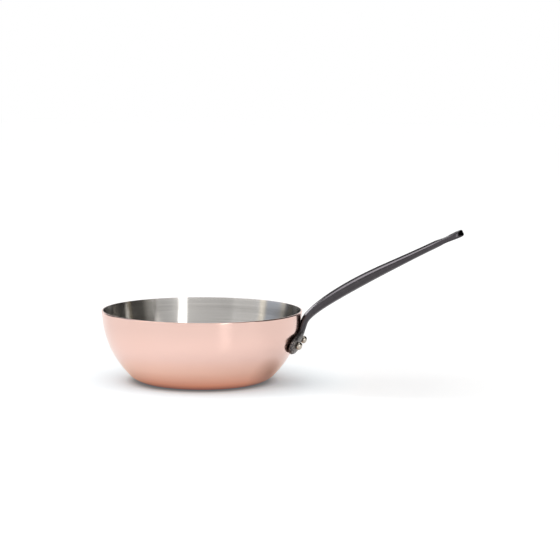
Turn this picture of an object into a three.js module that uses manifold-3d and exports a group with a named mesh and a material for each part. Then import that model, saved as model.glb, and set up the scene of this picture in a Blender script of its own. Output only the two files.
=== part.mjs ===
// A saute pan: a copper bowl with a bonded stainless steel lining, and a cast iron handle held by two rivets.
// Millimetres and degrees. +Z is up and the pan stands on Z = 0, with its axis at the origin.
// The handle runs along +X, and the pan is the same on both sides of the XZ plane.
import * as THREE from "three";
import { mergeVertices } from "three/addons/utils/BufferGeometryUtils.js";
import Module from "manifold-3d";

// Bowl: from the rim down, the outside is a straight lean, a wide belly arc, a tighter corner arc
// and a flat base.
const RIM_RADIUS = 120;
const PAN_HEIGHT = 85;
const WALL_LEAN = 7.2; // of the straight top, outwards from the vertical
const BELLY_RADIUS = 108;
const CORNER_RADIUS = 30;
const CORNER_TURN = 45; // from the flat base to where the belly starts
const COPPER_THICKNESS = 1.8;
const LINING_THICKNESS = 0.2;
const BOND_LINE = 0.05; // between copper and steel
const RIM_ROUND = 1.4; // outer edge of the copper at the rim

// Foot plate of the handle: a pad with rounded edges that lies along the wall.
const FOOT_DEPTH = 36; // from the rim down to the middle of the plate
const FOOT_HALF_WIDTH = 36; // along the wall, from the handle's plane
const FOOT_HALF_HEIGHT = 12.5;
const FOOT_THICKNESS = 6;
const FOOT_OUTLINE_POWER = 2.5; // 2 is an ellipse, more is squarer
const FOOT_EDGE_POWER = 4; // the same through the thickness, for the rounded edge
const SEAT_GAP = 0.3; // between the foot plate and the copper

// Neck and arm: a straight neck off the wall, a bend, a curved arm that straightens, and a flat hanging eye.
const NECK_LEAN = 14; // outwards from the vertical
const NECK_LENGTH = 12;
const NECK_THICKNESS = 7.3;
const NECK_SINK = 0.9; // by how much its inner side is cut back to follow the wall
const NECK_HALF_WIDTH = 9;
const NECK_FILLET = 6; // between the neck's sides and the top of the foot plate
const FADE_DROP = 3.6; // by how much the neck thins down to the middle of the plate
const BEND_PULL = 13.8; // how far the bend keeps the neck's direction
const ARM_PULL = 59.5; // how far the curved arm looks ahead to the straight one
const ARM_RISE = 26.7; // of the straight arm, above the horizontal
const ARM_REACH = 100.5; // from the rim outwards to where the straight arm starts
const ARM_LIFT = 54.8; // from the rim up to the same place
const STRAIGHT_LENGTH = 64; // from there to the shoulder of the eye
const SWELL_AT = 85; // along the handle from the foot to its thickest place
const SWELL_THICKNESS = 13.3;
const SWELL_HALF_WIDTH = 11;
const ARM_END_THICKNESS = 8.5;
const ARM_END_HALF_WIDTH = 9.5;
const ARM_SECTION_POWER = 2.1; // nearly an ellipse
const EYE_SECTION_POWER = 6; // flat faces with a small edge round
const EYE_DIP = 1.8; // by how much the eye is turned down from the arm
const EYE_RADIUS = 11.5;
const EYE_THICKNESS = 5.8; // at its shoulder
const TIP_THICKNESS = 8.2;
const EYE_HOLE_RADIUS = 5;
const EYE_SHOULDER = 11; // length over which the arm thins into the eye

// Rivets: solid, with a domed head outside and a low head inside.
const RIVET_OFFSET = 24; // along the wall, from the handle's plane
const RIVET_RISE = 1.6; // above the middle of the plate
const SHANK_RADIUS = 3;
const SHANK_CLEARANCE = 0.3;
const OUTER_HEAD_RADIUS = 4.7;
const OUTER_HEAD_HEIGHT = 6.8;
const INNER_HEAD_RADIUS = 5.5;
const INNER_HEAD_HEIGHT = 2;
const HEAD_POWER = 2.6; // fuller than a half ball
const HEAD_GAP = 0.3; // under each head

// Facets.
const ROUND_STEPS = 72;
const CORNER_STEPS = 6;
const BELLY_STEPS = 7;
const RIM_STEPS = 4;
const PAD_STEPS = 48;
const PAD_RINGS = 6;
const SECTION_STEPS = 24;
const BOLT_STEPS = 20;
const HEAD_STEPS = 5;
const FADE_STEPS = 4;
const FILLET_STEPS = 4;
const ARM_STEPS = 26;
const SHOULDER_STEPS = 6;
const EYE_STEPS = 7;

const wasm = await Module();
wasm.setup();

const radians = THREE.MathUtils.degToRad;
const { sin, cos, tan, sqrt, abs, sign, PI } = Math;

// The bowl's outer profile. Each angle is that of the outward normal, from straight down.
const cornerAngle = radians(CORNER_TURN);
const wallAngle = radians(90 - WALL_LEAN);
const bellyStartHeight = CORNER_RADIUS * (1 - cos(cornerAngle));
const bellyEndHeight = bellyStartHeight + BELLY_RADIUS * (cos(cornerAngle) - cos(wallAngle));
const straightRun = (PAN_HEIGHT - bellyEndHeight) / tan(wallAngle);
const bellyRun = BELLY_RADIUS * (sin(wallAngle) - sin(cornerAngle));
const baseRadius = RIM_RADIUS - straightRun - bellyRun - CORNER_RADIUS * sin(cornerAngle);
const bellyStartRadius = baseRadius + CORNER_RADIUS * sin(cornerAngle);

// Point of the corner or belly arc whose normal has this angle, moved inwards by inset.
function arcPoint(angle, inset) {
  if (angle <= cornerAngle) {
    const radius = CORNER_RADIUS - inset;
    return new THREE.Vector2(baseRadius + radius * sin(angle), CORNER_RADIUS - radius * cos(angle));
  }
  const radius = BELLY_RADIUS - inset;
  const centreRadius = bellyStartRadius - BELLY_RADIUS * sin(cornerAngle);
  const centreHeight = bellyStartHeight + BELLY_RADIUS * cos(cornerAngle);
  return new THREE.Vector2(centreRadius + radius * sin(angle), centreHeight - radius * cos(angle));
}

// Radius and normal angle of the outside of the bowl at a height.
function wallAt(height) {
  if (height >= bellyEndHeight) {
    const radius = RIM_RADIUS - (PAN_HEIGHT - height) / tan(wallAngle);
    return { radius, angle: wallAngle };
  }
  const belly = height >= bellyStartHeight;
  const cosine = belly
    ? cos(cornerAngle) - (height - bellyStartHeight) / BELLY_RADIUS
    : 1 - height / CORNER_RADIUS;
  const angle = Math.acos(cosine);
  return { radius: arcPoint(angle, 0).x, angle };
}

// Profile of the bowl's surface at an inset from its outside, from the axis out and up to a height.
function bowlProfile(inset, topHeight) {
  const points = [new THREE.Vector2(0, inset)];
  for (let i = 0; i <= CORNER_STEPS; i++) points.push(arcPoint((cornerAngle * i) / CORNER_STEPS, inset));
  for (let i = 1; i <= BELLY_STEPS; i++) {
    points.push(arcPoint(cornerAngle + ((wallAngle - cornerAngle) * i) / BELLY_STEPS, inset));
  }
  const last = points.at(-1);
  const rise = topHeight - last.y;
  points.push(new THREE.Vector2(last.x + rise / tan(wallAngle), topHeight));
  return points;
}

// A point near the wall: along it from the handle's plane, at a height, and out from its surface.
function offWall(along, height, out) {
  const wall = wallAt(height);
  const turn = along / wallAt(PAN_HEIGHT - FOOT_DEPTH).radius;
  const radius = wall.radius + out * sin(wall.angle);
  return new THREE.Vector3(radius * cos(turn), radius * sin(turn), height - out * cos(wall.angle));
}

// Turns a closed profile about Z. The profile is in radius and height.
function revolve(profile, steps) {
  return new THREE.LatheGeometry(profile, steps).rotateX(PI / 2);
}

// A closed skin over rings of equally many points, with a fan to a middle point at each end.
function loft(rings) {
  const count = rings[0].length;
  const middle = (ring) => ring.reduce((sum, p) => sum.add(p), new THREE.Vector3()).divideScalar(count);
  const points = [...rings.flat(), middle(rings[0]), middle(rings.at(-1))];
  const index = [];
  for (let r = 0; r + 1 < rings.length; r++) {
    for (let i = 0; i < count; i++) {
      const a = r * count + i;
      const b = r * count + ((i + 1) % count);
      index.push(a, b, b + count, a, b + count, a + count);
    }
  }
  const lastRing = (rings.length - 1) * count;
  for (let i = 0; i < count; i++) {
    const next = (i + 1) % count;
    index.push(points.length - 2, next, i);
    index.push(points.length - 1, lastRing + i, lastRing + next);
  }
  return new THREE.BufferGeometry().setFromPoints(points).setIndex(index);
}

function solid(geometry) {
  const bare = geometry.clone();
  bare.deleteAttribute("normal");
  bare.deleteAttribute("uv");
  const merged = mergeVertices(bare, 1e-4);
  const vertProperties = merged.attributes.position.array;
  const triVerts = new Uint32Array(merged.index.array);
  return new wasm.Manifold(new wasm.Mesh({ numProp: 3, vertProperties, triVerts }));
}

function geometryOf(body) {
  const mesh = body.getMesh();
  const position = new THREE.BufferAttribute(mesh.vertProperties, 3);
  const geometry = new THREE.BufferGeometry().setAttribute("position", position);
  return geometry.setIndex(new THREE.BufferAttribute(mesh.triVerts, 1));
}

// One coordinate of a superellipse, from the cosine or sine of its turn.
const superellipse = (value, power) => sign(value) * abs(value) ** (2 / power);

// From a to b as u goes from 0 to 1: easeOut starts briskly and arrives level, and easeBoth is level
// at both ends.
const clamp = THREE.MathUtils.clamp;
const easeOut = (a, b, u) => a + (b - a) * sin((clamp(u, 0, 1) * PI) / 2);
const easeBoth = (a, b, u) => a + (b - a) * (0.5 - 0.5 * cos(clamp(u, 0, 1) * PI));

// Copper layer, with its outer edge rounded at the rim.
function copperLayer() {
  const outside = bowlProfile(0, PAN_HEIGHT - RIM_ROUND);
  const edge = outside.at(-1);
  const rim = [];
  for (let i = 1; i <= RIM_STEPS; i++) {
    const turn = ((PI / 2) * i) / RIM_STEPS;
    rim.push(new THREE.Vector2(edge.x - RIM_ROUND * (1 - cos(turn)), edge.y + RIM_ROUND * sin(turn)));
  }
  const inside = bowlProfile(COPPER_THICKNESS, PAN_HEIGHT).reverse();
  return revolve([...outside, ...rim, ...inside], ROUND_STEPS);
}

function liningLayer() {
  const outer = COPPER_THICKNESS + BOND_LINE;
  const outside = bowlProfile(outer, PAN_HEIGHT);
  const inside = bowlProfile(outer + LINING_THICKNESS, PAN_HEIGHT).reverse();
  return revolve([...outside, ...inside], ROUND_STEPS);
}

// Foot plate: rings of the rounded pad, from inside the wall up to its outer face.
const footMiddle = PAN_HEIGHT - FOOT_DEPTH;

function footRing(share, out) {
  const ring = [];
  for (let i = 0; i < PAD_STEPS; i++) {
    const turn = (2 * PI * i) / PAD_STEPS;
    const along = FOOT_HALF_WIDTH * share * superellipse(cos(turn), FOOT_OUTLINE_POWER);
    const rise = FOOT_HALF_HEIGHT * share * superellipse(sin(turn), FOOT_OUTLINE_POWER);
    ring.push(offWall(along, footMiddle + rise, out));
  }
  return ring;
}

// Height of the pad's outer face off the wall, at a share of the way from its middle to its edge.
function footFace(share) {
  return SEAT_GAP + FOOT_THICKNESS * (1 - share ** FOOT_EDGE_POWER) ** (1 / FOOT_EDGE_POWER);
}

function footPlate() {
  const rings = [footRing(1, -COPPER_THICKNESS)];
  for (let i = 0; i < PAD_RINGS; i++) {
    const share = superellipse(cos(((PI / 2) * i) / PAD_RINGS), FOOT_EDGE_POWER);
    rings.push(footRing(share, footFace(share)));
  }
  return loft(rings);
}

// Centre line of the handle in the XZ plane, from the top of the foot plate to the tip of the eye.
const neckFoot = offWall(0, footMiddle + FOOT_HALF_HEIGHT, SEAT_GAP + NECK_THICKNESS / 2 - NECK_SINK);
const neckDirection = new THREE.Vector3(sin(radians(NECK_LEAN)), 0, cos(radians(NECK_LEAN)));
const armDirection = new THREE.Vector3(cos(radians(ARM_RISE)), 0, sin(radians(ARM_RISE)));
const eyeRise = radians(ARM_RISE - EYE_DIP);
const eyeDirection = new THREE.Vector3(cos(eyeRise), 0, sin(eyeRise));
const neckTop = neckFoot.clone().addScaledVector(neckDirection, NECK_LENGTH);
const armStart = new THREE.Vector3(RIM_RADIUS + ARM_REACH, 0, PAN_HEIGHT + ARM_LIFT);
const armEnd = armStart.clone().addScaledVector(armDirection, STRAIGHT_LENGTH);
const bend = new THREE.CubicBezierCurve3(
  neckTop,
  neckTop.clone().addScaledVector(neckDirection, BEND_PULL),
  armStart.clone().addScaledVector(armDirection, -ARM_PULL),
  armStart,
);
const bendLength = bend.getLength();
const armStartAt = NECK_LENGTH + bendLength;
const armEndAt = armStartAt + STRAIGHT_LENGTH;
const eyeCentreAt = armEndAt + EYE_SHOULDER + EYE_RADIUS;

// Point and direction of the centre line, by its length from the top of the foot plate.
function centreLine(at) {
  if (at < NECK_LENGTH) {
    return { point: neckFoot.clone().addScaledVector(neckDirection, at), direction: neckDirection };
  }
  if (at > armEndAt) {
    const point = armEnd.clone().addScaledVector(eyeDirection, at - armEndAt);
    return { point, direction: eyeDirection };
  }
  if (at > armStartAt) {
    const point = armStart.clone().addScaledVector(armDirection, at - armStartAt);
    return { point, direction: armDirection };
  }
  const share = (at - NECK_LENGTH) / bendLength;
  return { point: bend.getPointAt(share), direction: bend.getTangentAt(share) };
}

// The neck thins where it fades into the plate, the arm swells, and the flat eye thickens to a round tip.
function handleThickness(at) {
  if (at < 0) return easeBoth(NECK_THICKNESS, NECK_THICKNESS - FADE_DROP, -at / FOOT_HALF_HEIGHT);
  if (at < SWELL_AT) return easeOut(NECK_THICKNESS, SWELL_THICKNESS, at / SWELL_AT);
  if (at < armEndAt) {
    return easeBoth(SWELL_THICKNESS, ARM_END_THICKNESS, (at - SWELL_AT) / (armEndAt - SWELL_AT));
  }
  const flare = clamp((at - armEndAt - EYE_SHOULDER) / (2 * EYE_RADIUS), 0, 1);
  const shoulder = easeBoth(ARM_END_THICKNESS, EYE_THICKNESS, (at - armEndAt) / EYE_SHOULDER);
  const thickness = shoulder + (TIP_THICKNESS - EYE_THICKNESS) * flare;
  const share = clamp((at - eyeCentreAt) / EYE_RADIUS, 0, 1);
  return thickness * (1 - share ** EYE_SECTION_POWER) ** (1 / EYE_SECTION_POWER);
}

function handleHalfWidth(at) {
  if (at < 0) return easeBoth(NECK_HALF_WIDTH + NECK_FILLET, NECK_HALF_WIDTH, -at / FOOT_HALF_HEIGHT);
  if (at < NECK_FILLET) {
    return NECK_HALF_WIDTH + NECK_FILLET - sqrt(NECK_FILLET ** 2 - (NECK_FILLET - at) ** 2);
  }
  if (at < SWELL_AT) {
    return easeBoth(NECK_HALF_WIDTH, SWELL_HALF_WIDTH, (at - NECK_FILLET) / (SWELL_AT - NECK_FILLET));
  }
  if (at < armEndAt) {
    return easeBoth(SWELL_HALF_WIDTH, ARM_END_HALF_WIDTH, (at - SWELL_AT) / (armEndAt - SWELL_AT));
  }
  if (at < eyeCentreAt) {
    return easeBoth(ARM_END_HALF_WIDTH, EYE_RADIUS, (at - armEndAt) / (eyeCentreAt - armEndAt));
  }
  return sqrt(EYE_RADIUS ** 2 - (at - eyeCentreAt) ** 2);
}

// Cross-section of the handle, square to its centre line. At the foot it bends round with the wall.
function handleSection(at) {
  const { point, direction } = centreLine(at);
  const up = new THREE.Vector3(-direction.z, 0, direction.x);
  const power = easeBoth(ARM_SECTION_POWER, EYE_SECTION_POWER, (at - armEndAt) / EYE_SHOULDER);
  const wallCurve = easeBoth(1 / (2 * wallAt(footMiddle).radius), 0, at / NECK_LENGTH);
  const ring = [];
  for (let i = 0; i < SECTION_STEPS; i++) {
    const turn = (2 * PI * i) / SECTION_STEPS;
    const across = handleHalfWidth(at) * superellipse(cos(turn), power);
    const rise = (handleThickness(at) / 2) * superellipse(sin(turn), power);
    const sag = wallCurve * across ** 2;
    ring.push(new THREE.Vector3(point.x - sag, across, point.z).addScaledVector(up, rise));
  }
  return ring;
}

// Places of the cross-sections: close together at the fillet, the bend and the eye.
function handleStations() {
  const stations = [];
  for (let i = 0; i < FADE_STEPS; i++) stations.push(FOOT_HALF_HEIGHT * (i / FADE_STEPS - 1));
  for (let i = 0; i < FILLET_STEPS; i++) {
    stations.push(NECK_FILLET * (1 - cos(((PI / 2) * i) / FILLET_STEPS)));
  }
  for (let i = 0; i < ARM_STEPS; i++) {
    const share = i / ARM_STEPS;
    stations.push(NECK_FILLET + (armEndAt - NECK_FILLET) * share * (share + 1) / 2);
  }
  for (let i = 0; i < SHOULDER_STEPS; i++) {
    stations.push(armEndAt + ((eyeCentreAt - armEndAt) * i) / SHOULDER_STEPS);
  }
  for (let i = 0; i < EYE_STEPS; i++) {
    stations.push(eyeCentreAt + EYE_RADIUS * sin(((PI / 2) * i) / EYE_STEPS));
  }
  return stations;
}

// A cylinder about Z, centred on the origin.
function roundBar(radius, length) {
  return new THREE.CylinderGeometry(radius, radius, length, BOLT_STEPS).rotateX(PI / 2);
}

// Turns a geometry made along Z so that Z points along a direction, and moves its origin to a point.
function place(geometry, point, direction) {
  const turn = new THREE.Quaternion().setFromUnitVectors(new THREE.Vector3(0, 0, 1), direction);
  return geometry.applyQuaternion(turn).translate(point.x, point.y, point.z);
}

// Where a rivet goes through the wall, and the wall's outward direction there.
function rivetSeat(along) {
  const point = offWall(along, footMiddle + RIVET_RISE, 0);
  const direction = offWall(along, footMiddle + RIVET_RISE, 1).sub(point);
  return { point, direction };
}

const rivetAlongs = { rivet_near: -RIVET_OFFSET, rivet_far: RIVET_OFFSET };

// The pieces with a hole for each rivet.
function withRivetHoles(body) {
  let cut = body;
  for (const along of Object.values(rivetAlongs)) {
    const { point, direction } = rivetSeat(along);
    const bar = roundBar(SHANK_RADIUS + SHANK_CLEARANCE, 2 * OUTER_HEAD_RADIUS + 4 * FOOT_THICKNESS);
    cut = cut.subtract(solid(place(bar, point, direction)));
  }
  return cut;
}

function castHandle() {
  const arm = solid(loft(handleStations().map(handleSection)));
  const seat = bowlProfile(-SEAT_GAP, PAN_HEIGHT);
  const wall = solid(revolve([...seat, new THREE.Vector2(0, PAN_HEIGHT)], ROUND_STEPS));
  const { point, direction } = centreLine(eyeCentreAt);
  const eyeAxis = new THREE.Vector3(-direction.z, 0, direction.x);
  // Turned by half a facet, so that its corners stay off the lines of the cross-sections.
  const eyeBar = roundBar(EYE_HOLE_RADIUS, 2 * EYE_THICKNESS).rotateZ(PI / BOLT_STEPS);
  const eyeHole = solid(place(eyeBar, point, eyeAxis));
  return withRivetHoles(solid(footPlate()).add(arm).subtract(wall).subtract(eyeHole));
}

// One head of a rivet as radius and height, from its seat to its top.
function headProfile(radius, height) {
  const points = [];
  for (let i = 0; i <= HEAD_STEPS; i++) {
    const turn = ((PI / 2) * i) / HEAD_STEPS;
    const rise = height * superellipse(sin(turn), HEAD_POWER);
    points.push(new THREE.Vector2(radius * superellipse(cos(turn), HEAD_POWER), rise));
  }
  return points;
}

// Rivet along Z, with Z = 0 at the outside of the copper. The heads are set to the curve of the wall,
// so the inner one's edge lies further in than its middle, and the outer one's too.
function rivet() {
  const innerSeat = -(COPPER_THICKNESS + BOND_LINE + LINING_THICKNESS + HEAD_GAP);
  const outerSeat = footFace(RIVET_OFFSET / FOOT_HALF_WIDTH) + HEAD_GAP;
  const innerDish = INNER_HEAD_RADIUS ** 2 / (2 * BELLY_RADIUS);
  const outerDish = OUTER_HEAD_RADIUS ** 2 / (2 * BELLY_RADIUS);
  const inner = headProfile(INNER_HEAD_RADIUS, INNER_HEAD_HEIGHT).reverse();
  const outer = headProfile(OUTER_HEAD_RADIUS, OUTER_HEAD_HEIGHT);
  const profile = [
    ...inner.map((p) => new THREE.Vector2(p.x, innerSeat - innerDish - p.y)),
    new THREE.Vector2(SHANK_RADIUS, innerSeat),
    new THREE.Vector2(SHANK_RADIUS, outerSeat),
    ...outer.map((p) => new THREE.Vector2(p.x, outerSeat - outerDish + p.y)),
  ];
  return revolve(profile, BOLT_STEPS);
}

const copper = new THREE.MeshStandardMaterial({ color: "#d98e70", roughness: 0.18, metalness: 1 });
const steel = new THREE.MeshStandardMaterial({ color: "#b4b0aa", roughness: 0.32, metalness: 1 });
const iron = new THREE.MeshStandardMaterial({ color: "#3b3836", roughness: 0.55, metalness: 0.7 });
const rivetSteel = new THREE.MeshStandardMaterial({ color: "#c9c1b3", roughness: 0.28, metalness: 1 });

const pan = new THREE.Group();

function addPiece(name, geometry, material) {
  const mesh = new THREE.Mesh(geometry, material);
  mesh.name = name;
  pan.add(mesh);
}

addPiece("copper_body", geometryOf(withRivetHoles(solid(copperLayer()))), copper);
addPiece("steel_lining", geometryOf(withRivetHoles(solid(liningLayer()))), steel);
addPiece("cast_handle", geometryOf(castHandle()), iron);
for (const [name, along] of Object.entries(rivetAlongs)) {
  const { point, direction } = rivetSeat(along);
  addPiece(name, place(rivet(), point, direction), rivetSteel);
}

export default pan;
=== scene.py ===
# %% [markdown]
# A copper saute pan, lined with steel, with a long cast iron handle.
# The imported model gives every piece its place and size, in metres: the pan stands on Z = 0 with its
# axis on the Z axis, and the handle points along +X. This lesson gives each piece its fine shape
# and its finish, and then lights and frames it as in the photograph.

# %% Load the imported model
import math

import bpy
from mathutils import Matrix, Vector


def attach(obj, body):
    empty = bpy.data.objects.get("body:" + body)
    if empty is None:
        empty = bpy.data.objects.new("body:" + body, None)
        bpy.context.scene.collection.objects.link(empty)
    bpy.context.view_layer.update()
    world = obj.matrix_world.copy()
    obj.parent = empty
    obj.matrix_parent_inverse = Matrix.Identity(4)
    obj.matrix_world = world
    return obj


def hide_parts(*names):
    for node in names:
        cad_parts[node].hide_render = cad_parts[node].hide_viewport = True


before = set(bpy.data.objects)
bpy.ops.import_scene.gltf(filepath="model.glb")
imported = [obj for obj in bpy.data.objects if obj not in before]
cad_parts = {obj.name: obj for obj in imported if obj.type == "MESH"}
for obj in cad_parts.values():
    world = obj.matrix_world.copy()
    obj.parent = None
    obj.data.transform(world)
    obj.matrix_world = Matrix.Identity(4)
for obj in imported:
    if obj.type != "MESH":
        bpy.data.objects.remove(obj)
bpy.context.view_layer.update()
print("pieces in the packed model:", sorted(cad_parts))
MM = 0.001

# %% [markdown]
# The bowl is spun: a disc of copper with a skin of steel is pressed over a turning form with a
# roller. So one line, turned about the axis, holds its whole shape. From the middle of the base the
# line runs flat, turns up through a tight corner, swells along a wide belly and ends in a short
# straight rise. Writing that line as a function of how deep we are in the metal lets the copper and
# the steel share it.

# %% The line of the bowl
RIM_RADIUS = 120 * MM
PAN_HEIGHT = 85 * MM
WALL_LEAN = math.radians(7.2)
BELLY_RADIUS = 108 * MM
CORNER_RADIUS = 30 * MM
CORNER_TURN = math.radians(45)

wall_turn = math.radians(90) - WALL_LEAN
belly_low = CORNER_RADIUS * (1 - math.cos(CORNER_TURN))
belly_high = belly_low + BELLY_RADIUS * (math.cos(CORNER_TURN) - math.cos(wall_turn))
belly_run = BELLY_RADIUS * (math.sin(wall_turn) - math.sin(CORNER_TURN))
straight_run = (PAN_HEIGHT - belly_high) / math.tan(wall_turn)
base_radius = RIM_RADIUS - straight_run - belly_run - CORNER_RADIUS * math.sin(CORNER_TURN)


def bowl_line(depth, top, base_steps=6, corner_steps=12, belly_steps=24, straight_steps=4):
    """Radius and height along the bowl, at a depth in the metal, from the axis up to a height."""
    radius = CORNER_RADIUS - depth
    line = [(base_radius * i / base_steps, depth) for i in range(base_steps)]
    for i in range(corner_steps + 1):
        turn = CORNER_TURN * i / corner_steps
        out, down = radius * math.sin(turn), radius * math.cos(turn)
        line.append((base_radius + out, CORNER_RADIUS - down))
    centre_radius = base_radius - (BELLY_RADIUS - CORNER_RADIUS) * math.sin(CORNER_TURN)
    centre_height = CORNER_RADIUS + (BELLY_RADIUS - CORNER_RADIUS) * math.cos(CORNER_TURN)
    radius = BELLY_RADIUS - depth
    for i in range(1, belly_steps + 1):
        turn = CORNER_TURN + (wall_turn - CORNER_TURN) * i / belly_steps
        out, down = radius * math.sin(turn), radius * math.cos(turn)
        line.append((centre_radius + out, centre_height - down))
    last_radius, last_height = line[-1]
    for i in range(1, straight_steps + 1):
        rise = (top - last_height) * i / straight_steps
        line.append((last_radius + rise / math.tan(wall_turn), last_height + rise))
    return line


print("flat base radius in mm:", round(base_radius / MM, 1))

# %% [markdown]
# Blender's spin tool does what the spinning lathe does. We start from a small plane, merge it to a
# single point, and extrude that point from place to place along the line. Spinning the line about Z
# makes the skin. The first and last turn lie on each other, so their points are merged before the
# faces are turned to point outwards.

# %% Draw a line by extruding, and spin it
SEAM = 0.005 * MM
SMOOTH_BELOW = math.radians(35)


def spin_piece(name, line, steps):
    """A closed skin spun about Z from a line of radius and height."""
    bpy.ops.object.select_all(action="DESELECT")
    bpy.ops.mesh.primitive_plane_add(size=MM, location=(0, 0, 0))
    piece = bpy.context.object
    piece.name = piece.data.name = name
    bpy.ops.object.mode_set(mode="EDIT")
    bpy.ops.mesh.merge(type="CENTER")
    bpy.ops.transform.translate(value=(line[0][0], 0, line[0][1]))
    for (radius, height), (next_radius, next_height) in zip(line, line[1:]):
        step = (next_radius - radius, 0, next_height - height)
        bpy.ops.mesh.extrude_region_move(TRANSFORM_OT_translate={"value": step})
    bpy.ops.mesh.select_all(action="SELECT")
    bpy.ops.mesh.spin(steps=steps, angle=2 * math.pi, center=(0, 0, 0), axis=(0, 0, 1))
    bpy.ops.mesh.select_all(action="SELECT")
    bpy.ops.mesh.remove_doubles(threshold=SEAM)
    bpy.ops.mesh.normals_make_consistent(inside=False)
    bpy.ops.object.mode_set(mode="OBJECT")
    bpy.ops.object.shade_smooth_by_angle(angle=SMOOTH_BELOW)
    size = [round(side / MM, 1) for side in piece.dimensions]
    print(name, "mm:", size, "faces:", len(piece.data.polygons))
    return piece


# %% [markdown]
# The copper is the thick outer layer, 1.8 mm. At the rim it is cut square, and its outer edge is
# broken with a file, here as a round of 1.2 mm. The round matters: the fine dark line along the
# right of the rim is the dark side of the room, mirrored in it.

# %% The copper body
COPPER_THICKNESS = 1.8 * MM
RIM_ROUND = 1.2 * MM
RIM_STEPS = 10
BOWL_STEPS = 192


def rounded_edge(line, radius, steps):
    """The points of a quarter round that goes on from the end of a line and turns inwards."""
    edge_radius, edge_height = line[-1]
    turns = [0.5 * math.pi * i / steps for i in range(1, steps + 1)]
    return [
        (edge_radius - radius * (1 - math.cos(turn)), edge_height + radius * math.sin(turn))
        for turn in turns
    ]


outside = bowl_line(0, PAN_HEIGHT - RIM_ROUND)
inside = bowl_line(COPPER_THICKNESS, PAN_HEIGHT)
copper_body = spin_piece(
    "copper_shell", outside + rounded_edge(outside, RIM_ROUND, RIM_STEPS) + inside[::-1], BOWL_STEPS
)

# %% [markdown]
# The lining is a skin of stainless steel, 0.2 mm thick, rolled onto the copper before the bowl is
# spun. It follows the same line a little deeper in the metal, with a hair of room for the bond.

# %% The steel lining
BOND_LINE = 0.05 * MM
LINING_THICKNESS = 0.2 * MM

lining_outside = bowl_line(COPPER_THICKNESS + BOND_LINE, PAN_HEIGHT)
lining_inside = bowl_line(COPPER_THICKNESS + BOND_LINE + LINING_THICKNESS, PAN_HEIGHT)
steel_lining = spin_piece("lining_shell", lining_outside + lining_inside[::-1], BOWL_STEPS)

# %% [markdown]
# A rivet is a solid pin with a head at each end. The outer head is a full dome on a narrow neck, so
# that a dark gap shows under it, and the inner head is low. Both lie on the curve of the wall. The
# two heads and the pin between them are again one line, to be spun about the pin's own axis. Heads
# and neck are given by radius and height.

# %% The line of a rivet
FOOT_HALF_WIDTH = 36 * MM
FOOT_THICKNESS = 6 * MM
FOOT_EDGE_POWER = 4
SEAT_GAP = 0.3 * MM
RIVET_OFFSET = 24 * MM
SHANK_RADIUS = 3 * MM
HEAD_GAP = 0.3 * MM
HEAD_POWER = 2.6
INNER_HEAD = (5.5 * MM, 2 * MM)
OUTER_HEAD = (4.7 * MM, 4.6 * MM)
OUTER_NECK = (3.4 * MM, 2.2 * MM)


def dome(radius, height, steps=14):
    """Radius and height of a domed head, from its edge to its top."""
    points = []
    for i in range(steps + 1):
        turn = 0.5 * math.pi * i / steps
        rise = height * math.sin(turn) ** (2 / HEAD_POWER)
        points.append((radius * max(math.cos(turn), 0) ** (2 / HEAD_POWER), rise))
    points[-1] = (0, height)
    return points


share = RIVET_OFFSET / FOOT_HALF_WIDTH
plate_here = FOOT_THICKNESS * (1 - share**FOOT_EDGE_POWER) ** (1 / FOOT_EDGE_POWER)
outer_seat = SEAT_GAP + plate_here + HEAD_GAP
inner_seat = -(COPPER_THICKNESS + BOND_LINE + LINING_THICKNESS + HEAD_GAP)
neck_radius, neck_height = OUTER_NECK
inner_edge = inner_seat - INNER_HEAD[0] ** 2 / (2 * BELLY_RADIUS)
outer_edge = outer_seat - OUTER_HEAD[0] ** 2 / (2 * BELLY_RADIUS)
rivet_line = [(radius, inner_edge - rise) for radius, rise in dome(*INNER_HEAD)[::-1]]
rivet_line += [(SHANK_RADIUS, inner_seat), (SHANK_RADIUS, outer_seat), (neck_radius, outer_edge)]
rivet_line += [(radius, outer_edge + neck_height + rise) for radius, rise in dome(*OUTER_HEAD)]
print("rivet length in mm:", round((rivet_line[-1][1] - rivet_line[0][1]) / MM, 1))

# %% [markdown]
# One rivet is spun, and a copy of it is made for the other side of the handle. Each is turned to
# the wall's direction at its place, a little above the middle of the foot plate, and that place is
# applied to its mesh.

# %% Set the two rivets
FOOT_DEPTH = 36 * MM
RIVET_RISE = 1.6 * MM
RIVET_STEPS = 48

rivet_height = PAN_HEIGHT - FOOT_DEPTH + RIVET_RISE
rivet_slope = math.acos(math.cos(CORNER_TURN) - (rivet_height - belly_low) / BELLY_RADIUS)
belly_centre = base_radius - (BELLY_RADIUS - CORNER_RADIUS) * math.sin(CORNER_TURN)
rivet_radius = belly_centre + BELLY_RADIUS * math.sin(rivet_slope)


def set_rivet(rivet, along):
    """Puts a rivet through the wall, at a distance along it from the handle's plane."""
    around = along / rivet_radius
    direction = Vector((math.sin(rivet_slope), 0, -math.cos(rivet_slope)))
    direction.rotate(Matrix.Rotation(around, 3, "Z"))
    place = Vector((rivet_radius * math.cos(around), rivet_radius * math.sin(around), rivet_height))
    turned = direction.to_track_quat("Z", "Y").to_matrix().to_4x4()
    rivet.matrix_world = Matrix.Translation(place) @ turned
    bpy.ops.object.select_all(action="DESELECT")
    rivet.select_set(True)
    bpy.context.view_layer.objects.active = rivet
    bpy.ops.object.transform_apply(location=True, rotation=True, scale=True)
    print(rivet.name, "at mm:", [round(value / MM, 1) for value in place])


near_rivet = spin_piece("near_rivet_pin", rivet_line, RIVET_STEPS)
bpy.ops.object.duplicate()
far_rivet = bpy.context.object
far_rivet.name = far_rivet.data.name = "far_rivet_pin"
set_rivet(near_rivet, -RIVET_OFFSET)
set_rivet(far_rivet, RIVET_OFFSET)

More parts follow.
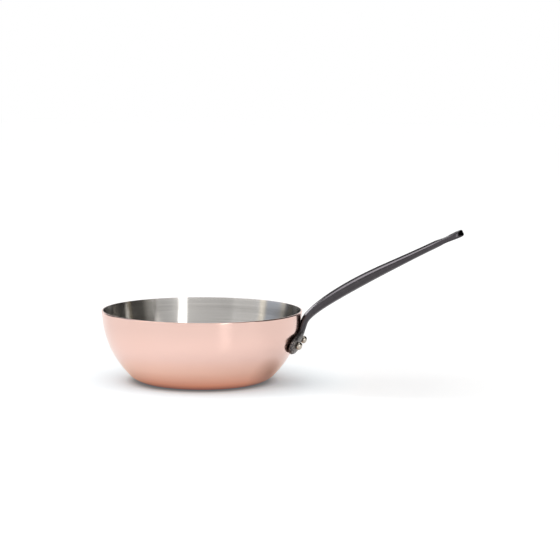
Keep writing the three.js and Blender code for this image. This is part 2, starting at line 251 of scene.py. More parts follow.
# %% [markdown]
# The handle is one iron casting: a foot plate that follows the wall, a neck, an arm that swells and
# thins again, and a flat eye to hang it by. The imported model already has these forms, with flat
# facets. Molten iron in sand leaves no sharp edge. So a copy of that mesh is merged, its triangles
# are joined to quads, a subdivision rounds the quads, and a voxel remesh with some smoothing gives
# one even, fine skin. That melts the facets and fills the corners, as a foundry's fillets do.

# %% The cast handle
SAME_POINT = 0.01 * MM
QUAD_BEND, QUAD_SKEW = math.radians(30), math.radians(60)
GRAIN_SKIN = 0.5 * MM
MELT_ROUNDS = 12


def finish_with(piece, kind, **settings):
    """Adds a modifier with its settings and applies it."""
    modifier = piece.modifiers.new(kind.lower(), kind)
    for key, value in settings.items():
        setattr(modifier, key, value)
    bpy.ops.object.modifier_apply(modifier=modifier.name)


bpy.ops.object.select_all(action="DESELECT")
cast_handle = bpy.data.objects.new("handle_casting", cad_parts["cast_handle"].data.copy())
bpy.context.scene.collection.objects.link(cast_handle)
cast_handle.select_set(True)
bpy.context.view_layer.objects.active = cast_handle
bpy.ops.object.mode_set(mode="EDIT")
bpy.ops.mesh.select_all(action="SELECT")
bpy.ops.mesh.remove_doubles(threshold=SAME_POINT)
bpy.ops.mesh.tris_convert_to_quads(face_threshold=QUAD_BEND, shape_threshold=QUAD_SKEW)
bpy.ops.object.mode_set(mode="OBJECT")
finish_with(cast_handle, "SUBSURF", levels=2, render_levels=2)
finish_with(cast_handle, "REMESH", mode="VOXEL", voxel_size=GRAIN_SKIN, use_smooth_shade=True)
finish_with(cast_handle, "SMOOTH", factor=0.5, iterations=MELT_ROUNDS)
print("handle faces:", len(cast_handle.data.polygons))

# %% [markdown]
# A foot plate doesn't meet its wall with a sharp edge. The edge at the wall is rounded, and the two
# ends stand a little off the copper, which leaves a dark line round the plate. Each point gets a
# weight by its distance from the copper, so that only the points near the wall are smoothed
# further. The ends are then pulled outwards with a soft falloff, and the whole skin grows by the
# hair that the smoothing took.

# %% Ease the foot plate
PLATE_END = 32 * MM
END_LIFT = 1.6 * MM
END_FALLOFF = 18 * MM
EASE_NEAR = 1.5 * MM
EASE_FAR = 3 * MM
EASE_ROUNDS = 60
SKIN_GROWTH = 0.12 * MM

near_wall = cast_handle.vertex_groups.new(name="near_wall")
near_wall.add(range(len(cast_handle.data.vertices)), 1.0, "REPLACE")
finish_with(
    cast_handle, "VERTEX_WEIGHT_PROXIMITY", vertex_group="near_wall",
    target=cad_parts["copper_body"], proximity_mode="GEOMETRY", proximity_geometry={"FACE"},
    min_dist=EASE_FAR, max_dist=EASE_NEAR,
)
finish_with(cast_handle, "SMOOTH", factor=0.5, iterations=EASE_ROUNDS, vertex_group="near_wall")
for vertex in cast_handle.data.vertices:
    vertex.select = abs(vertex.co.y) > PLATE_END
bpy.ops.object.mode_set(mode="EDIT")
bpy.ops.transform.translate(
    value=(END_LIFT, 0, 0), use_proportional_edit=True,
    proportional_edit_falloff="SMOOTH", proportional_size=END_FALLOFF,
)
bpy.ops.mesh.select_all(action="SELECT")
bpy.ops.transform.shrink_fatten(value=SKIN_GROWTH)
bpy.ops.object.mode_set(mode="OBJECT")
print("handle in mm:", [round(side / MM, 1) for side in cast_handle.dimensions])

# %% [markdown]
# Colours are written as the hex values that a screen shows, and Blender mixes light in linear
# numbers, so one function turns the one into the other. Another adds a node with its settings and
# its links, which keeps each material below short enough to read as a recipe. A third starts an
# empty material.


# %% Small tools for materials
def linear(hex_colour):
    """A screen colour such as #c08060 as linear red, green, blue and alpha."""
    screen = [int(hex_colour[i : i + 2], 16) / 255 for i in (1, 3, 5)]
    light = [c / 12.92 if c <= 0.04045 else ((c + 0.055) / 1.055) ** 2.4 for c in screen]
    return (*light, 1)


def add(tree, kind, inputs={}, **settings):
    """Adds a node with its settings. An input is a value, or the output that it is linked to."""
    node = tree.nodes.new(kind)
    for key, value in settings.items():
        setattr(node, key, value)
    for socket, value in inputs.items():
        if isinstance(value, bpy.types.NodeSocket):
            tree.links.new(value, node.inputs[socket])
        else:
            node.inputs[socket].default_value = value
    return node


def new_material(name):
    """An empty material and its node tree."""
    material = bpy.data.materials.new(name)
    material.use_nodes = True
    material.node_tree.nodes.clear()
    return material, material.node_tree


print("the middle grey of a screen is", round(linear("#808080")[0], 2), "of its white light")

# %% [markdown]
# Polished copper. Fresh copper mirrors red light far better than blue, so white surroundings look
# pale pink in it, and a dark thing looks deep brown. It was buffed on the lathe: very fine rings
# run round it, too fine to see singly. They are drawn here about 1 mm wide, as slow, faint changes
# of gloss. Noise stays mostly between 0.3 and 0.7, so that range is spread over the change. In a
# colour Mix node, input 0 is the share, 6 and 7 are the two colours, and output 2 is the result.

# %% Polished copper
SHARE, FIRST, SECOND, MIXED = 0, 6, 7, 2
RING_WIDTH = 1 * MM
RING_RUN = 500 / 3 * MM
RINGS = (1 / RING_RUN, 1 / RING_RUN, 1 / RING_WIDTH)
TONE_WIDTH = 500 / 7 * MM
COPPER_TONES = (linear("#f6d3c8"), linear("#f3cec2"))
NOISE_LOW, NOISE_HIGH = 0.3, 0.7
COPPER_LOW, COPPER_HIGH = 0.15, 0.19

copper, tree = new_material("polished_copper")
place = add(tree, "ShaderNodeTexCoord").outputs["Object"]
rings = add(tree, "ShaderNodeMapping", {"Vector": place, "Scale": RINGS}).outputs["Vector"]
ring_noise = add(tree, "ShaderNodeTexNoise", {"Vector": rings, "Scale": 1.0, "Detail": 2.0})
gloss = add(
    tree, "ShaderNodeMapRange",
    {"Value": ring_noise.outputs["Fac"], "From Min": NOISE_LOW, "From Max": NOISE_HIGH,
     "To Min": COPPER_LOW, "To Max": COPPER_HIGH},
).outputs["Result"]
tone = add(tree, "ShaderNodeTexNoise", {"Vector": place, "Scale": 1 / TONE_WIDTH, "Detail": 3.0})
colour = add(
    tree, "ShaderNodeMix",
    {SHARE: tone.outputs["Fac"], FIRST: COPPER_TONES[0], SECOND: COPPER_TONES[1]}, data_type="RGBA",
).outputs[MIXED]
shader = add(
    tree, "ShaderNodeBsdfPrincipled", {"Base Color": colour, "Roughness": gloss, "Metallic": 1.0}
)
add(tree, "ShaderNodeOutputMaterial", {"Surface": shader.outputs["BSDF"]})
copper_body.data.materials.append(copper)
print(copper.name, "on", copper_body.name)

# %% [markdown]
# Brushed stainless steel. Abrasive held against the turning bowl leaves fine lines round it, drawn
# here coarser than they are, eleven to the centimetre, so that they show. They spread a reflection
# up and down but hardly sideways, so every lamp becomes an upright streak with crisp sides.
# Anisotropy does that: the tangent runs round the axis, and a quarter turn sets the rough way
# upright.

# %% Brushed stainless steel
LINE_WIDTH = 10 / 11 * MM
BRUSH_LINES = (1 / RING_RUN, 1 / RING_RUN, 1 / LINE_WIDTH)
STEEL_TONES = (linear("#b2afab"), linear("#d8d5d1"))
STEEL_ROUGHNESS = 0.18
QUARTER_TURN = 0.25

steel, tree = new_material("brushed_stainless")
place = add(tree, "ShaderNodeTexCoord").outputs["Object"]
brush = add(tree, "ShaderNodeMapping", {"Vector": place, "Scale": BRUSH_LINES}).outputs["Vector"]
lines = add(tree, "ShaderNodeTexNoise", {"Vector": brush, "Scale": 1.0, "Detail": 3.0})
colour = add(
    tree, "ShaderNodeMix",
    {SHARE: lines.outputs["Fac"], FIRST: STEEL_TONES[0], SECOND: STEEL_TONES[1]}, data_type="RGBA",
).outputs[MIXED]
around = add(tree, "ShaderNodeTangent", direction_type="RADIAL", axis="Z").outputs["Tangent"]
shader = add(
    tree, "ShaderNodeBsdfPrincipled",
    {"Base Color": colour, "Roughness": STEEL_ROUGHNESS, "Metallic": 1.0, "Tangent": around,
     "Anisotropic": 1.0, "Anisotropic Rotation": QUARTER_TURN},
)
add(tree, "ShaderNodeOutputMaterial", {"Surface": shader.outputs["BSDF"]})
steel_lining.data.materials.append(steel)
print(steel.name, "on", steel_lining.name)

# %% [markdown]
# Cast iron with a dark finish. Sand leaves a skin of grains, well under a millimetre across. They
# are drawn seven to the centimetre, with finer ones within, because finer ones alone would be lost
# at this size. The foot plate was left raw: its grains stand high, and their tips are painted pale,
# partly as wear and partly as painted glints of light. Above it the neck is dull, and the arm was
# ground smoother and has a grey sheen. The height above the table tells these zones apart.

# %% Dark cast iron
GRAIN_WIDTH = 10 / 7 * MM
PATCH_WIDTH = 100 / 9 * MM
RAW_ENDS = (56 * MM, 64 * MM)
DULL_ENDS = (66 * MM, 84 * MM)
IRON_TONES = (linear("#454346"), linear("#555154"))
TIP_WEAR_AND_GLINT_COLOUR = linear("#b5aea6")
TIP_LOW, TIP_HIGH = 0.48, 0.64
TIP_WEAR_AND_GLINT = 0.8

iron, tree = new_material("dark_cast_iron")
place = add(tree, "ShaderNodeTexCoord").outputs["Object"]
grain = add(
    tree, "ShaderNodeTexNoise", {"Vector": place, "Scale": 1 / GRAIN_WIDTH, "Detail": 3.0}
).outputs["Fac"]
patch = add(
    tree, "ShaderNodeTexNoise", {"Vector": place, "Scale": 1 / PATCH_WIDTH, "Detail": 4.0}
).outputs["Fac"]
lift = add(tree, "ShaderNodeSeparateXYZ", {0: place}).outputs["Z"]
raw, dull = [
    add(
        tree, "ShaderNodeMapRange",
        {"Value": lift, "From Min": low, "From Max": high, "To Min": 1.0, "To Max": 0.0},
    ).outputs["Result"]
    for low, high in (RAW_ENDS, DULL_ENDS)
]
tips = add(
    tree, "ShaderNodeMapRange",
    {"Value": grain, "From Min": TIP_LOW, "From Max": TIP_HIGH, "To Min": 0.0, "To Max": TIP_WEAR_AND_GLINT},
).outputs["Result"]
# pale grain tips on the raw plate: partly wear, partly painted glints
worn_and_glinting = add(tree, "ShaderNodeMath", {0: raw, 1: tips}, operation="MULTIPLY").outputs[0]
finish = add(
    tree, "ShaderNodeMix", {SHARE: patch, FIRST: IRON_TONES[0], SECOND: IRON_TONES[1]},
    data_type="RGBA",
).outputs[MIXED]
colour = add(
    tree, "ShaderNodeMix", {SHARE: worn_and_glinting, FIRST: finish, SECOND: TIP_WEAR_AND_GLINT_COLOUR}, data_type="RGBA"
).outputs[MIXED]
print("the raw skin ends between", [round(end / MM) for end in RAW_ENDS], "mm")

# %% [markdown]
# The same zones set how rough the iron is and how high its grains stand. The grains stay in the
# bump, because real ones are far finer than a millimetre and don't change the outline.

# %% Gloss and grain of the iron
IRON_LOW, IRON_HIGH = 0.2, 0.3
DULL_ROUGHNESS = 0.25
GRAIN_HEIGHT = 0.4 * MM
GROUND_STRENGTH, RAW_STRENGTH = 0.17, 0.68

gloss = add(
    tree, "ShaderNodeMapRange",
    {"Value": patch, "From Min": NOISE_LOW, "From Max": NOISE_HIGH,
     "To Min": IRON_LOW, "To Max": IRON_HIGH},
).outputs["Result"]
rough = add(
    tree, "ShaderNodeMath", {0: dull, 1: DULL_ROUGHNESS, 2: gloss}, operation="MULTIPLY_ADD"
).outputs[0]
strength = add(
    tree, "ShaderNodeMath", {0: raw, 1: RAW_STRENGTH, 2: GROUND_STRENGTH}, operation="MULTIPLY_ADD"
).outputs[0]
bump = add(
    tree, "ShaderNodeBump", {"Height": grain, "Strength": strength, "Distance": GRAIN_HEIGHT}
).outputs["Normal"]
shader = add(
    tree, "ShaderNodeBsdfPrincipled",
    {"Base Color": colour, "Roughness": rough, "Normal": bump, "Metallic": 1.0},
)
add(tree, "ShaderNodeOutputMaterial", {"Surface": shader.outputs["BSDF"]})
cast_handle.data.materials.clear()
cast_handle.data.materials.append(iron)
print(iron.name, "on", cast_handle.name)

# %% [markdown]
# The rivets are bright stainless steel, slightly warm. The hammer that set them left a satin face,
# with faint marks, again seven to the centimetre.

# %% Satin stainless rivets
MARK_WIDTH = 10 / 7 * MM
MARK_HEIGHT = 0.2 * MM
MARK_STRENGTH = 0.15
PIN_TONES = (linear("#b7afa3"), linear("#d0c8bc"))
PIN_ROUGHNESS = 0.16

pin_steel, tree = new_material("satin_stainless")
place = add(tree, "ShaderNodeTexCoord").outputs["Object"]
marks = add(
    tree, "ShaderNodeTexNoise", {"Vector": place, "Scale": 1 / MARK_WIDTH, "Detail": 3.0}
).outputs["Fac"]
colour = add(
    tree, "ShaderNodeMix", {SHARE: marks, FIRST: PIN_TONES[0], SECOND: PIN_TONES[1]},
    data_type="RGBA",
).outputs[MIXED]
bump = add(
    tree, "ShaderNodeBump", {"Height": marks, "Strength": MARK_STRENGTH, "Distance": MARK_HEIGHT}
).outputs["Normal"]
shader = add(
    tree, "ShaderNodeBsdfPrincipled",
    {"Base Color": colour, "Roughness": PIN_ROUGHNESS, "Normal": bump, "Metallic": 1.0},
)
add(tree, "ShaderNodeOutputMaterial", {"Surface": shader.outputs["BSDF"]})
for rivet in (near_rivet, far_rivet):
    rivet.data.materials.append(pin_steel)
print(pin_steel.name, "on", near_rivet.name, "and", far_rivet.name)

# %% [markdown]
# A table lists, for each new piece, the piece of the imported model that it stands for and a
# finish of the record. The imported piece is hidden, and nothing on this pan moves, so all of it
# rides on the one body.

# %% Tie the pieces to the imported model
stands_for = {
    "copper_body": (copper_body, "copper"),
    "steel_lining": (steel_lining, "lining_steel"),
    "cast_handle": (cast_handle, "cast_iron"),
    "rivet_near": (near_rivet, "rivet_steel"),
    "rivet_far": (far_rivet, "rivet_steel"),
}
for node, (piece, finish) in stands_for.items():
    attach(piece, "root")
    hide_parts(node)
print("tied:", ", ".join(stands_for))

# %% [markdown]
# The floor is a plain white sheet. A camera sees it as pure white only if it glows a little on top
# of the light that it scatters; the lamps stay at a plain level. The glow is only for what the
# camera sees, directly or in a mirror, and the scattered part still carries the pan's soft shadow.

# %% The floor
FLOOR_SIDE = 40
FLOOR_DROP = 0.2 * MM

bpy.ops.object.select_all(action="DESELECT")
bpy.ops.mesh.primitive_plane_add(size=FLOOR_SIDE, location=(0, 0, -FLOOR_DROP))
floor = bpy.context.object
floor.name = floor.data.name = "studio_floor"
paper, tree = new_material("white_paper")
light_path = add(tree, "ShaderNodeLightPath")
to_camera = light_path.outputs["Is Camera Ray"]
to_mirror = light_path.outputs["Is Glossy Ray"]
to_glass = light_path.outputs["Is Transmission Ray"]
seen = add(tree, "ShaderNodeMath", {0: to_camera, 1: to_mirror}, operation="MAXIMUM").outputs[0]
seen = add(tree, "ShaderNodeMath", {0: seen, 1: to_glass}, operation="MAXIMUM").outputs[0]
print(floor.name, "is", FLOOR_SIDE, "m wide")

# %% [markdown]
# Close to the pan the sheet isn't evenly white, and the light and shade there are painted into it.
# For the metal that mirrors it, a painted warm light stands for the light that copper throws on the
# sheet and the belly mirrors back, and a painted shadow makes the narrow gap under the round corner
# nearly dark. For the camera, a painted contact shadow lies along the base, and a cool tint takes
# the copper's warm light out. Farther out the painted glow gets brighter. Two pairs of colour ramps,
# by the distance from the pan's axis in metres, hold this: what the sheet scatters and how much it
# glows, for the metal that mirrors it and for the camera.

# %% The floor by its distance from the pan
# painted warm light and painted shadow near the base, as the copper mirrors the sheet
MIRROR_PAINTED_LIGHT_AND_SHADE = [
    (0.074, "#c46127"), (0.083, "#edbc90"), (0.093, "#fae7d3"), (0.104, "#fef7ec"),
    (0.136, "#f7f9fa"), (0.2, "#f6f6f6"),
]
# painted contact shadow near the base, and a cool tint against the copper's warm light, for the
# camera
CAMERA_PAINTED_SHADE_AND_COOL_TINT = [
    (0.072, "#656f73"), (0.079, "#8e9ba0"), (0.086, "#d0dee3"), (0.093, "#eaf8fe"),
    (0.13, "#eff8fc"), (0.2, "#f6f6f6"),
]
MIRROR_GLOW = [(0.071, 0.09), (0.087, 0.17), (0.15, 0.17), (0.32, 0.1), (0.5, 0.11), (1.6, 0.28)]
CAMERA_GLOW = [
    (0.085, 0.11), (0.105, 0.19), (0.16, 0.19), (0.21, 0.12), (0.27, 0.11), (0.34, 0.14),
    (0.7, 0.18), (1.2, 0.36), (1.6, 0.45),
]
TINT_REACH = 0.4
GLOW_REACH = 2.0

place = add(tree, "ShaderNodeTexCoord").outputs["Object"]
distance = add(tree, "ShaderNodeVectorMath", {0: place}, operation="LENGTH").outputs["Value"]
ramps = []
for reach, stops in (
    (GLOW_REACH, MIRROR_GLOW), (GLOW_REACH, CAMERA_GLOW),
    (TINT_REACH, MIRROR_PAINTED_LIGHT_AND_SHADE), (TINT_REACH, CAMERA_PAINTED_SHADE_AND_COOL_TINT),
):
    share = add(tree, "ShaderNodeMath", {0: distance, 1: reach}, operation="DIVIDE").outputs[0]
    ramp = add(tree, "ShaderNodeValToRGB", {"Fac": share})
    for metres, _ in stops[1:-1]:
        ramp.color_ramp.elements.new(metres / reach)
    for stop, (metres, value) in zip(ramp.color_ramp.elements, stops):
        stop.position = metres / reach
        stop.color = linear(value) if isinstance(value, str) else (value, value, value, 1)
    ramps.append(ramp.outputs["Color"])
# the sheet's colour, with the painted light and shade near the base
glow, paper_painted_light_and_shade = [
    add(
        tree, "ShaderNodeMix", {SHARE: to_camera, FIRST: mirror, SECOND: camera}, data_type="RGBA"
    ).outputs[MIXED]
    for mirror, camera in (ramps[:2], ramps[2:])
]
print("tints to", TINT_REACH, "m and glow to", GLOW_REACH, "m from the axis")

# %% [markdown]
# The light comes from the left, so the sheet lies in shade on the right of the base. The lamps draw
# most of that shade, and a soft round painted shadow deepens it, brown in the copper and grey for
# the camera. In front of the pan, from a hand's width on, a painted glow makes the sheet a little
# brighter for the camera.

# %% Painted shade beside the base, painted glow in front
PAINTED_SHADE_CENTRE = (0.09, -0.014, 0)
PAINTED_SHADE_INSIDE, PAINTED_SHADE_OUTSIDE = 8 * MM, 48 * MM
PAINTED_SHADE_IN_COPPER = linear("#c2aa99")
PAINTED_SHADE_TO_CAMERA = linear("#f0f1f2")
FRONT_START, FRONT_END = -70 * MM, -130 * MM
FRONT_GLOW = 0.13

# a soft round painted shadow beside the base
off_painted_shade = add(
    tree, "ShaderNodeVectorMath", {0: place, 1: PAINTED_SHADE_CENTRE}, operation="DISTANCE"
).outputs["Value"]
spot = add(
    tree, "ShaderNodeMapRange",
    {"Value": off_painted_shade, "From Min": PAINTED_SHADE_INSIDE, "From Max": PAINTED_SHADE_OUTSIDE,
     "To Min": 1.0, "To Max": 0.0},
).outputs["Result"]
painted_shade_colour = add(
    tree, "ShaderNodeMix", {SHARE: to_camera, FIRST: PAINTED_SHADE_IN_COPPER, SECOND: PAINTED_SHADE_TO_CAMERA},
    data_type="RGBA",
).outputs[MIXED]
paper_painted_light_and_shade = add(
    tree, "ShaderNodeMix", {SHARE: spot, FIRST: paper_painted_light_and_shade, SECOND: painted_shade_colour},
    data_type="RGBA", blend_type="MULTIPLY",
).outputs[MIXED]
depth = add(tree, "ShaderNodeSeparateXYZ", {0: place}).outputs["Y"]
# a painted glow, for the camera only, in front of the pan
before = add(
    tree, "ShaderNodeMapRange",
    {"Value": depth, "From Min": FRONT_START, "From Max": FRONT_END,
     "To Min": 0.0, "To Max": FRONT_GLOW},
).outputs["Result"]
glow = add(
    tree, "ShaderNodeMath", {0: before, 1: to_camera, 2: glow}, operation="MULTIPLY_ADD"
).outputs[0]
glow = add(tree, "ShaderNodeMath", {0: seen, 1: glow}, operation="MULTIPLY").outputs[0]
print("shade spot at", PAINTED_SHADE_CENTRE[:2], "m")

# %% [markdown]
# Smooth paper has a faint sheen where light meets it at a low angle, and the copper mirrors the
# room in it. The scattered light, the sheen and the glow are joined to one surface.

# %% Join the floor's finish
SHEEN = 0.13
SHEEN_ROUGHNESS = 0.15
PLAIN_BLEND = 0.5

scatter = add(tree, "ShaderNodeBsdfDiffuse", {"Color": paper_painted_light_and_shade})
sheen = add(tree, "ShaderNodeBsdfGlossy", {"Roughness": SHEEN_ROUGHNESS})
grazing = add(tree, "ShaderNodeLayerWeight", {"Blend": PLAIN_BLEND}).outputs["Facing"]
slant = add(tree, "ShaderNodeMath", {0: to_mirror, 1: grazing}, operation="MULTIPLY").outputs[0]
slant = add(tree, "ShaderNodeMath", {0: slant, 1: SHEEN}, operation="MULTIPLY").outputs[0]
sheet = add(tree, "ShaderNodeMixShader", {0: slant, 1: scatter.outputs[0], 2: sheen.outputs[0]})
shine = add(tree, "ShaderNodeEmission", {"Strength": glow})
both = add(tree, "ShaderNodeAddShader", {0: sheet.outputs[0], 1: shine.outputs[0]})
add(tree, "ShaderNodeOutputMaterial", {"Surface": both.outputs[0]})
floor.data.materials.append(paper)
print(paper.name, "on", floor.name)

# %% [markdown]
# Polished metal looks like what stands round it, so the room is set up for the mirrors. The table
# goes round the pan in degrees, 0 towards the camera and plus to the right, with the wall's
# brightness and warmth: a bright front, narrow brighter strips that the steel draws as upright
# streaks, and dark sides. That contrast is what makes steel look like steel.

# %% The room's walls
CAMERA_TURN = math.radians(7)
STUDIO = [
    (-180, 0.04, 0), (-128, 0.04, 0), (-118, 0.25, -0.6), (-114, 1.0, 0.2), (-108, 1.0, 0.2),
    (-105, 0.77, -0.6), (-84, 0.7, -0.6), (-81, 0.9, 0), (-79, 1.2, 0.4), (-73, 1.2, 0.4),
    (-70, 0.97, -0.1), (-60, 0.97, 0), (-37, 1.04, 0), (-34, 0.86, 0), (-13, 0.84, 0), (0, 0.88, 0),
    (17, 0.95, 0), (36, 1.04, 0), (42, 0.86, 0), (57, 0.75, 0), (60, 1.3, 0.1), (65, 1.4, 0.1),
    (67, 0.72, 0.1), (72, 0.45, 0.2), (80, 0.1, 0.3), (97, 0.03, 0.3), (99, 0.14, 1.6),
    (104, 0.14, 1.6), (106, 0.02, 0.3), (180, 0.02, 0),
]
WARM_GREEN, WARM_BLUE = 0.14, 0.4

world = bpy.data.worlds.new("white_studio")
bpy.context.scene.world = world
world.use_nodes = True
tree = world.node_tree
tree.nodes.clear()
front = (math.sin(CAMERA_TURN), -math.cos(CAMERA_TURN), 0)
right = (math.cos(CAMERA_TURN), math.sin(CAMERA_TURN), 0)
sight = add(tree, "ShaderNodeTexCoord").outputs["Generated"]
ahead, aside = [
    add(tree, "ShaderNodeVectorMath", {0: sight, 1: way}, operation="DOT_PRODUCT").outputs["Value"]
    for way in (front, right)
]
turn = add(tree, "ShaderNodeMath", {0: aside, 1: ahead}, operation="ARCTAN2").outputs[0]
share = add(
    tree, "ShaderNodeMapRange",
    {"Value": turn, "From Min": -math.pi, "From Max": math.pi, "To Min": 0.0, "To Max": 1.0},
).outputs["Result"]
ring = add(tree, "ShaderNodeValToRGB", {"Fac": share})
for degrees, _, _ in STUDIO[1:-1]:
    ring.color_ramp.elements.new(0.5 + degrees / 360)
for stop, (degrees, brightness, warmth) in zip(ring.color_ramp.elements, STUDIO):
    stop.position = 0.5 + degrees / 360
    green, blue = [brightness * (1 - loss * warmth) for loss in (WARM_GREEN, WARM_BLUE)]
    stop.color = (brightness, green, blue, 1)
print("room of", len(STUDIO), "stops")

# %% [markdown]
# The walls are brightest just above the floor, and a dark ceiling begins at about 40 degrees.
# Brushed metal is never a perfect mirror, so what reaches the eye through two mirrors is dimmed to
# a quarter.

# %% Low wall, ceiling and second mirror
LOW_WALL, LOW_WALL_ENDS = (1.5, 0.95), (3, 16)
CEILING, CEILING_ENDS = (1.0, 0.12), (38, 48)
SECOND_MIRROR = 0.25
PAST_THE_FIRST = 1.5


def rise(degrees):
    """The height of a direction that points this many degrees above the floor."""
    return math.sin(math.radians(degrees))


height = add(tree, "ShaderNodeSeparateXYZ", {0: sight}).outputs["Z"]
low_wall, ceiling = [
    add(
        tree, "ShaderNodeMapRange",
        {"Value": height, "From Min": rise(low), "From Max": rise(high),
         "To Min": below, "To Max": above},
    ).outputs["Result"]
    for (below, above), (low, high) in ((LOW_WALL, LOW_WALL_ENDS), (CEILING, CEILING_ENDS))
]
light_path = add(tree, "ShaderNodeLightPath")
mirrors = light_path.outputs["Glossy Depth"]
again = add(
    tree, "ShaderNodeMath", {0: mirrors, 1: PAST_THE_FIRST}, operation="GREATER_THAN"
).outputs[0]
dimming = add(
    tree, "ShaderNodeMath", {0: again, 1: SECOND_MIRROR - 1, 2: 1.0}, operation="MULTIPLY_ADD"
).outputs[0]
dimming = add(tree, "ShaderNodeMath", {0: dimming, 1: low_wall}, operation="MULTIPLY").outputs[0]
dimming = add(tree, "ShaderNodeMath", {0: dimming, 1: ceiling}, operation="MULTIPLY").outputs[0]
walls = add(
    tree, "ShaderNodeMix", {SHARE: 1.0, FIRST: ring.outputs["Color"], SECOND: dimming},
    data_type="RGBA", blend_type="MULTIPLY",
).outputs[MIXED]
print("ceiling from", CEILING_ENDS[0], "degrees up")

# %% [markdown]
# A low white backdrop stands behind the pan, as far as mirrors show it. The camera sees plain white
# wherever it looks past the floor, and all that isn't a mirror gets an even light at a plain level.

# %% Backdrop, and who sees what
BACKDROP_SIDES = (134, 146)
BACKDROP_TOP = (12, 20)
WHITE = (1, 1, 1, 1)
EVEN_LIGHT = (0.6, 0.6, 0.6, 1)

side_near, side_far = [math.cos(math.radians(degrees)) for degrees in BACKDROP_SIDES]
behind = add(
    tree, "ShaderNodeMapRange",
    {"Value": ahead, "From Min": side_near, "From Max": side_far, "To Min": 0.0, "To Max": 1.0},
).outputs["Result"]
below_top = add(
    tree, "ShaderNodeMapRange",
    {"Value": height, "From Min": rise(BACKDROP_TOP[0]), "From Max": rise(BACKDROP_TOP[1]),
     "To Min": 1.0, "To Max": 0.0},
).outputs["Result"]
backdrop = add(tree, "ShaderNodeMath", {0: behind, 1: below_top}, operation="MULTIPLY").outputs[0]
studio = add(
    tree, "ShaderNodeMix", {SHARE: backdrop, FIRST: walls, SECOND: WHITE}, data_type="RGBA"
).outputs[MIXED]
to_camera, to_mirror = light_path.outputs["Is Camera Ray"], light_path.outputs["Is Glossy Ray"]
mirrored = add(
    tree, "ShaderNodeMix", {SHARE: to_mirror, FIRST: EVEN_LIGHT, SECOND: studio}, data_type="RGBA"
).outputs[MIXED]
shown = add(
    tree, "ShaderNodeMix", {SHARE: to_camera, FIRST: mirrored, SECOND: WHITE}, data_type="RGBA"
).outputs[MIXED]
air = add(tree, "ShaderNodeBackground", {"Color": shown, "Strength": 1.0})
add(tree, "ShaderNodeOutputWorld", {"Surface": air.outputs[0]})
print("nodes in the room:", len(tree.nodes))

# %% [markdown]
# Two soft lamps. A large box overhead, a little to the left, gives the handle its bright shoulder
# and throws the soft shadow to the right. A tall narrow box to the right of the camera is the white
# streak in the steel and the pale one in the copper. A lamp is given by the brightness of its face,
# so that its size can change without making it brighter.


# %% The lamps
def soft_lamp(name, place, aim, width, height, radiance, roll=0.0, spread=180):
    """A soft box that looks at a point, by its face's brightness. Angles are in degrees."""
    lamp = bpy.data.lights.new(name, "AREA")
    lamp.shape = "RECTANGLE"
    lamp.size = width
    lamp.size_y = height
    lamp.energy = 4 * width * height * radiance
    lamp.spread = math.radians(spread)
    holder = bpy.data.objects.new(name, lamp)
    bpy.context.scene.collection.objects.link(holder)
    holder.location = place
    holder.visible_camera = False
    holder.rotation_euler = (Vector(aim) - Vector(place)).to_track_quat("-Z", "Y").to_euler()
    holder.rotation_euler.rotate_axis("Z", math.radians(roll))
    print(name, "power in watts:", round(lamp.energy, 3))
    return holder


def around_pan(turn, distance, height):
    """A place at a turn to the right of the camera, as seen from the pan."""
    angle = CAMERA_TURN + math.radians(turn)
    return (distance * math.sin(angle), -distance * math.cos(angle), height)


soft_lamp(
    "overhead_box", place=(-0.35, 0.12, 1.85), aim=(0.05, 0, 0.05),
    width=2.2, height=2.2, radiance=0.98,
)
soft_lamp(
    "tall_strip", place=around_pan(28.6, 3.0, 1.2), aim=(0, 0, 0.08),
    width=0.58, height=2.4, radiance=2.2, roll=-10,
)

# %% [markdown]
# Two small panels hang close to the handle, where a photographer would hold white cards. Only
# mirrors show them: one is the grey band along the arm, the other the highlight on the bend. A
# light link lets them reach the handle alone, so that the rim and the lining beside it stay clean
# from every side.

# %% Two panels for the handle
arm_panel = soft_lamp(
    "arm_panel", place=(0.0611, 0.035, 0.3397), aim=(0.1721, 0.035, 0.1157),
    width=0.19, height=0.24, radiance=0.56, spread=76,
)
bend_panel = soft_lamp(
    "bend_panel", place=(0.0368, 0.0468, 0.1426), aim=(0.1272, -0.0119, 0.09),
    width=0.1, height=0.048, radiance=0.72, spread=70,
)
handle_only = bpy.data.collections.new("handle_only")
handle_only.objects.link(cast_handle)
for panel in (arm_panel, bend_panel):
    panel.visible_diffuse = False
    panel.light_linking.receiver_collection = handle_only

# %% [markdown]
# A small dark card hangs to the right of the handle's end, out of the picture. Only mirrors show
# it, and it keeps the round end of the eye nearly black, as in the photograph.

# %% The dark card
CARD_WIDTH, CARD_HEIGHT = 56 * MM, 34 * MM
CARD_PLACE = (0.335, -0.014, 0.199)
CARD_BLACK = linear("#080808")
CARD_ROUGHNESS = 0.9

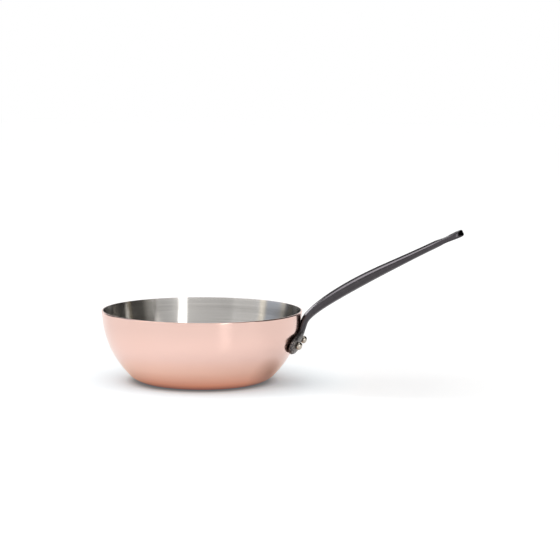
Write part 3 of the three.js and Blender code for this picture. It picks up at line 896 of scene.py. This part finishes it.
bpy.ops.object.select_all(action="DESELECT")
bpy.ops.mesh.primitive_plane_add(size=1, location=(0, 0, 0))
card = bpy.context.object
card.name = card.data.name = "dark_card"
bpy.ops.object.mode_set(mode="EDIT")
bpy.ops.mesh.select_all(action="SELECT")
bpy.ops.transform.resize(value=(CARD_WIDTH, CARD_HEIGHT, 1))
bpy.ops.object.mode_set(mode="OBJECT")
upright = Matrix.Rotation(math.radians(90), 4, "Z") @ Matrix.Rotation(math.radians(90), 4, "X")
card.matrix_world = Matrix.Translation(CARD_PLACE) @ upright
bpy.ops.object.transform_apply(location=True, rotation=True, scale=True)
black, tree = new_material("black_card")
shader = add(
    tree, "ShaderNodeBsdfPrincipled",
    {"Base Color": CARD_BLACK, "Roughness": CARD_ROUGHNESS, "Specular IOR Level": 0.0},
)
add(tree, "ShaderNodeOutputMaterial", {"Surface": shader.outputs["BSDF"]})
card.data.materials.append(black)
card.visible_camera = card.visible_diffuse = card.visible_shadow = False
print(card.name, "in mm:", [round(side / MM, 1) for side in card.dimensions])

# %% [markdown]
# The camera's place comes from fitting the rim's two ellipses and the outline of the bowl in the
# photograph: it looks slightly down, from 7 degrees to the handle's side, through a long lens.

# %% The camera
CAMERA_PLACE = Vector((0.3233, -1.8721, 0.3354))
CAMERA_SIGHT = Vector((-0.1211, 0.9863, -0.1123))
CAMERA_ROLL = math.radians(0.4)
SENSOR_WIDTH = 36
FOCAL_LENGTH = 102.86
FAR_CLIP = 60

lens = bpy.data.cameras.new("photo_camera")
lens.sensor_width = SENSOR_WIDTH
lens.lens = FOCAL_LENGTH
lens.clip_end = FAR_CLIP
photo_camera = bpy.data.objects.new("photo_camera", lens)
bpy.context.scene.collection.objects.link(photo_camera)
aim = CAMERA_SIGHT.to_track_quat("-Z", "Y").to_matrix().to_4x4()
roll = Matrix.Rotation(CAMERA_ROLL, 4, "Z")
photo_camera.matrix_world = Matrix.Translation(CAMERA_PLACE) @ aim @ roll
bpy.context.scene.camera = photo_camera
bpy.context.scene.view_settings.view_transform = "Standard"
print("camera", round(CAMERA_PLACE.length, 2), "m from the pan, lens", FOCAL_LENGTH, "mm")
